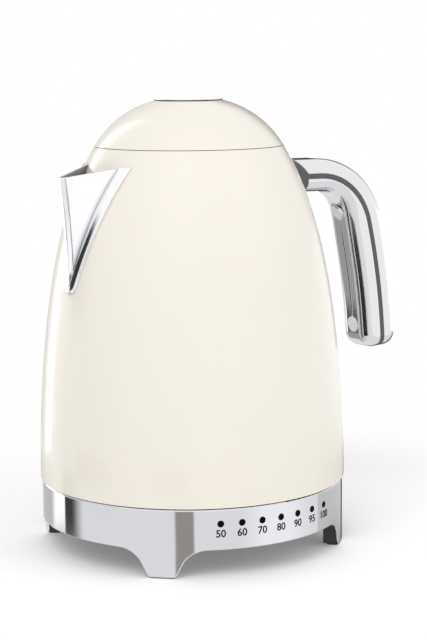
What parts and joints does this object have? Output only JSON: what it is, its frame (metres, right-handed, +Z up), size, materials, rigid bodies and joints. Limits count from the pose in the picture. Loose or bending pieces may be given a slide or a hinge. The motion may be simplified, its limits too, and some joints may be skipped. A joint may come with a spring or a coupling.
{
  "type": "electric kettle",
  "caption": "Bell-shaped electric kettle with a beak spout, a hinged dome lid with a push button, a two-shell handle and a round cordless base with temperature lights.",
  "frame": {"origin": "on the table, under the axis of the body and base", "axes": "+Z up, +X towards the handle, -X towards the spout, -Y towards the row of temperature lights"},
  "size_m": [0.227, 0.171, 0.248],
  "materials": {
    "chrome": "polished",
    "cream": "gloss enamel",
    "black": "matte",
    "grey": "satin",
    "rubber": "matte",
    "brass": "plain",
    "board": "satin",
    "lens": "gloss",
    "steel": "brushed",
    "aluminium": "plain",
    "clear": "clear",
    "seal": "silicone"
  },
  "bodies": {
    "base": {"base_ring": "chrome", "base_tray": "black", "base_pan": "black", "foot_pads": "rubber", "base_connector": "black", "contact_pin": "brass", "light_bar": "black", "temperature_lights": "lens", "control_board": "board", "switch_board": "board", "cord_gland": "black", "base_screws": "steel"},
    "temperature_button": {"temperature_button": "chrome"},
    "start_button": {"start_button": "chrome"},
    "coupler": {"kettle_coupler": "black"},
    "kettle": {"body_shell": "cream", "heater_plate": "steel", "heater_seal": "seal", "heat_spreader": "aluminium", "heating_element": "steel", "temperature_sensor": "black", "bottom_cover": "black", "bottom_screws": "steel", "spout": "chrome", "spout_filter": "steel", "neck_collar": "steel", "hinge_pin": "steel", "water_window": "clear", "window_gasket": "grey", "handle_core": "grey", "handle_outer_shell": "chrome", "handle_inner_shell": "chrome", "handle_screws": "steel", "handle_screw_caps": "chrome", "handle_bolts": "steel"},
    "lid": {"lid_dome": "cream", "lid_liner": "steel", "lid_seal": "seal", "button_cup": "black", "lid_button_spring": "steel"},
    "lid_button": {"lid_button_cap": "chrome", "lid_button_stem": "black"},
    "latch": {"lid_latch": "grey"}
  },
  "joints": [
    {"name": "kettle_lift", "type": "slide", "parent": "base", "child": "coupler", "axis": [0, 0, 1], "range_m": [0, 0.12]},
    {"name": "kettle_swivel", "type": "hinge", "parent": "coupler", "child": "kettle", "pos_m": [0, 0, 0.04], "axis": [0, 0, 1], "continuous": true},
    {"name": "lid_hinge", "type": "hinge", "parent": "kettle", "child": "lid", "pos_m": [0.051, 0, 0.222], "axis": [0, 1, 0], "range_deg": [0, 78]},
    {"name": "lid_button_press", "type": "slide", "parent": "lid", "child": "lid_button", "axis": [0, 0, -1], "range_m": [0, 0.003], "stiffness_N_per_m": 400, "deforming": ["lid_button_spring"]},
    {"name": "lid_latch_slide", "type": "slide", "parent": "lid", "child": "latch", "axis": [1, 0, 0], "range_m": [0, 0.003]},
    {"name": "temperature_button_press", "type": "slide", "parent": "base", "child": "temperature_button", "axis": [-1, 0, 0], "range_m": [0, 0.0012], "stiffness_N_per_m": 800},
    {"name": "start_button_press", "type": "slide", "parent": "base", "child": "start_button", "axis": [-1, 0, 0], "range_m": [0, 0.0012], "stiffness_N_per_m": 800}
  ],
  "couplings": [
    {"joint": "lid_latch_slide", "follows": "lid_button_press", "ratio": 1}
  ]
}
